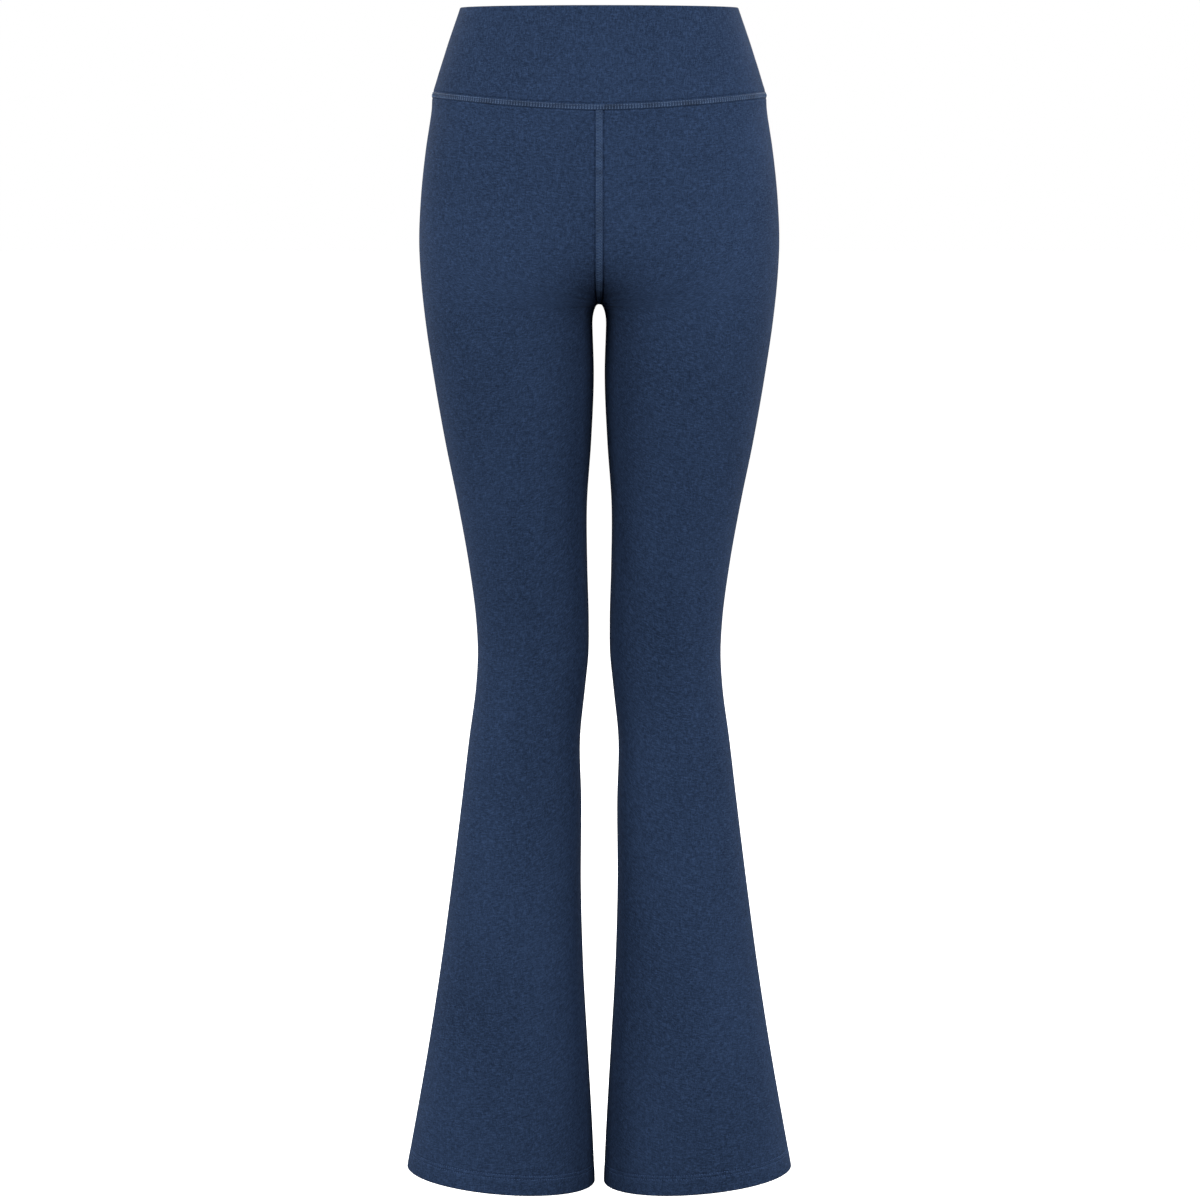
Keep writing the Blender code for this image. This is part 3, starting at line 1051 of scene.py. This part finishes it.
waist_threads = []
for share, offset, height, radius, seed in WAIST_ROWS:
    waist_threads.append(row_of_stitches(on_waist, ring_starts, ring_pitch, share, offset * MM,
                                         height * MM, radius * MM, seed))
first, last, lean, height, radius, seed = WAIST_CROSS
waist_threads.append(cross_threads(on_waist, ring_starts + ring_pitch / 2, first * MM, last * MM,
                                   lean * MM, height * MM, radius * MM, seed))
points, faces = join_tubes(waist_threads)
add_piece("waist_seam_threads", points, faces, waist_thread)
print("stitches round the waist:", ring_count)

# %% Strips over the centre seams
CENTRE_HALF = 3.1 * MM
CENTRE_HEIGHT = 0.45 * MM
CENTRE_TOP = 2.6 * MM
CENTRE_END = 4 * MM
CENTRE_COLUMNS = 101


def centre_strip(end):
    """A strip over the centre seam: rows across it, columns down it, with its normals.

    The near columns of the half grid and their mirror image give a narrow surface, and the
    strip's points are read from it at even lengths.
    """
    near = len(CENTRE_STEPS)
    columns = slice(near) if end == 0 else slice(None, -near - 1, -1)
    half = leg_points[:crotch_row + 1, columns]
    bent = leg_normals[:crotch_row + 1, columns]
    surface = np.concatenate([mirrored(half[:, :0:-1]), half], 1)
    normal = np.concatenate([mirrored(bent[:, :0:-1]), bent], 1)
    if end == 1:
        surface, normal = surface[:, ::-1], normal[:, ::-1]
    offsets = np.concatenate([-CENTRE_STEPS[:0:-1], CENTRE_STEPS])
    length = lengths(half[:, 0])
    along = np.linspace(CENTRE_TOP, length[-1] - CENTRE_END, CENTRE_COLUMNS)
    row = np.interp(along, length, np.arange(len(length)))
    column = np.interp(BAND_OFFSETS * CENTRE_HALF, offsets, np.arange(len(offsets)))
    row, column = np.meshgrid(row, column)
    normals = unit(pick(normal, row, column))[::-1]
    return pick(surface, row, column)[::-1] + normals * swell(along)[:, None], normals


# %% Bands and threads of the centre seams
CENTRE_SHARE = 0.7
CENTRE_NEEDLE = 2.15 * MM
CENTRE_CROSS = 1.9 * MM
NEEDLE_HEIGHT, NEEDLE_RADIUS = 0.40 * MM, 0.42 * MM
CROSS_HEIGHT, CROSS_RADIUS = 0.38 * MM, 0.34 * MM

for end, part in enumerate(("front", "back")):
    slot = f"centre_seam_{part}"
    strip, strip_normals = centre_strip(end)
    band_shell(f"{slot}_band", strip, strip_normals, CENTRE_HEIGHT, centre_looper, slot, False)

    def on_strip(along, offset, height, strip=strip, strip_normals=strip_normals):
        """Places on this seam's band."""
        return strip_place(strip, strip_normals, BAND_OFFSETS * CENTRE_HALF, along, offset, height)

    whole = lengths(strip[len(BAND_OFFSETS) // 2])[-1]
    count = round(whole / STITCH)
    pitch = whole / count
    starts = np.arange(count) * pitch
    threads = []
    for offset, seed in ((-CENTRE_NEEDLE, 11), (CENTRE_NEEDLE, 12)):
        threads.append(row_of_stitches(on_strip, starts, pitch, CENTRE_SHARE, offset,
                                       NEEDLE_HEIGHT, NEEDLE_RADIUS, seed))
    for begin, to, seed in ((starts, CENTRE_CROSS, 13), (starts + pitch / 2, -CENTRE_CROSS, 14)):
        threads.append(cross_threads(on_strip, begin, -to, to, pitch / 2, CROSS_HEIGHT,
                                     CROSS_RADIUS, seed))
    points, faces = join_tubes(threads)
    add_piece(f"{slot}_threads", points, faces, centre_thread)
    print(f"{slot}: {count} stitches in {whole:.3f} m")

# %% [markdown]
# ## Hem stitching
#
# Two rows of needle thread, close to the cloth's own colour, hold the hem up. They lie in
# shallow grooves right round each leg. A painted line would do from afar, but it wouldn't
# catch the light. The left hem's threads are made, and the right hem's mirror them.

# %% Hem stitches
HEM_STITCH = 2.4 * MM
HEM_SHARE = 0.72
HEM_WINDOW = 3 * MM
HEM_THREAD_LIFT = 0.06 * MM
HEM_THREAD_RADIUS = 0.28 * MM
HEM_SEEDS = (21, 23)

hem_groups = []
for line, seed in zip(HEM_LINES, HEM_SEEDS):
    beside = leg_down[-1, 0] - leg_down[:, 0] - line
    window = np.abs(beside) < HEM_WINDOW
    hem_rows, hem_row_normals = leg_points[window][::-1], leg_normals[window][::-1]
    hem_offsets = beside[window][::-1]
    hem_length = lengths(hem_rows[len(hem_offsets) // 2])[-1]
    hem_count = round(hem_length / HEM_STITCH)

    def on_hem(along, offset, height, rows=hem_rows, normals=hem_row_normals, offsets=hem_offsets):
        """Places along this stitch line on the left leg."""
        return strip_place(rows, normals, offsets, along, offset, height)

    hem_pitch = hem_length / hem_count
    hem_starts = np.arange(hem_count) * hem_pitch
    hem_groups.append(row_of_stitches(on_hem, hem_starts, hem_pitch, HEM_SHARE, 0.0,
                                      HEM_THREAD_LIFT - HEM_LINE_DEPTH, HEM_THREAD_RADIUS, seed))

left_hem, hem_faces = join_tubes(hem_groups)
add_piece("hem_threads_left", left_hem, hem_faces, hem_thread)
add_piece("hem_threads_right", mirrored(left_hem), [face[:, ::-1] for face in hem_faces],
          hem_thread)
print("stitches round each hem:", hem_count, "in each row")

# %% [markdown]
# ## Floor, light and camera
#
# The photograph is a plain cut-out look: white all round, with soft light from both sides.
# The hips and the middle of each leg are evenly bright. The inner legs, which shade each
# other, and the cloth that turns under at the crotch are dark. A white world alone would
# light them as well, so it only fills. Two soft lights in front and two at the sides give
# the rest, and two more behind edge the outline and show the back. The pale floor glows a
# little, so it stays as white as the world behind it, and gives the cloth no light from
# below. The camera stands four metres in front and looks slightly down, as the outline's
# perspective shows.

# %% Floor
FLOOR = -1.16
FLOOR_HALF = 30.0
FLOOR_GLOW = 1.08

floor_mesh = bpy.data.meshes.new("floor")
corners = FLOOR_HALF * np.array([[-1, -1], [1, -1], [1, 1], [-1, 1]])
floor_mesh.from_pydata([(x, y, FLOOR) for x, y in corners], [], [(0, 1, 2, 3)])
floor = bpy.data.objects.new("floor", floor_mesh)
bpy.context.scene.collection.objects.link(floor)
floor.visible_diffuse = False
floor.visible_glossy = False
floor_material, start = new_material("pale_floor")
place = start.node("ShaderNodeTexCoord", output=3)
pale = (0.5 + place.noise((3, 3, 3))).mix((0.88, 0.88, 0.88, 1), (0.92, 0.92, 0.92, 1))
finish_material(start, start.node("ShaderNodeBsdfPrincipled", None,
                                  {"Base Color": pale, "Roughness": 0.9,
                                   "Specular IOR Level": 0.0, "Emission Color": pale,
                                   "Emission Strength": FLOOR_GLOW}))
floor_mesh.materials.append(floor_material)

# %% World: white to look at, and a weaker white as light
FILL = 0.05

world = bpy.data.worlds.new("white_studio")
world.use_nodes = True
world.node_tree.nodes.clear()
start = Wire(world.node_tree)
seen = start.node("ShaderNodeLightPath")
strength = FILL + seen * (1 - FILL)
sky = start.node("ShaderNodeBackground", None, {"Color": (1, 1, 1, 1), "Strength": strength})
start.node("ShaderNodeOutputWorld", None, {"Surface": sky})
bpy.context.scene.world = world

# %% Lights
LIGHT_DISTANCE = 4.2
LIGHT_SIZE = 2.4
LIGHT_AIM = Vector((0, 0, -0.5))
# name, degrees round from the camera, degrees up, power (W)
LIGHTS = (
    ("front_light_left", 40, 26, 116),
    ("front_light_right", -40, 26, 116),
    ("side_light_left", 86, 15, 86),
    ("side_light_right", -86, 15, 86),
    ("back_light_left", 140, 25, 92),
    ("back_light_right", -140, 25, 92),
)
for name, turn, up, power in LIGHTS:
    turn, up = np.radians([turn, up])
    light = bpy.data.lights.new(name, "AREA")
    light.size = LIGHT_SIZE
    light.energy = power
    lamp = bpy.data.objects.new(name, light)
    away = Vector((np.sin(turn) * np.cos(up), -np.cos(turn) * np.cos(up), np.sin(up)))
    lamp.location = LIGHT_AIM + LIGHT_DISTANCE * away
    lamp.rotation_euler = away.to_track_quat("Z", "Y").to_euler()
    bpy.context.scene.collection.objects.link(lamp)
print("lights:", len(LIGHTS))

# %% Camera
CAMERA_PLACE = (0.0007, -4.0, -0.10)
CAMERA_DOWN = np.radians(6.4188)
LENS = 128.95
SENSOR = 36.0

camera_data = bpy.data.cameras.new("camera")
camera_data.lens = LENS
camera_data.sensor_width = SENSOR
camera = bpy.data.objects.new("camera", camera_data)
camera.location = CAMERA_PLACE
camera.rotation_euler = (np.pi / 2 - CAMERA_DOWN, 0, 0)
bpy.context.scene.collection.objects.link(camera)
bpy.context.scene.camera = camera
bpy.context.scene.view_settings.view_transform = "Standard"
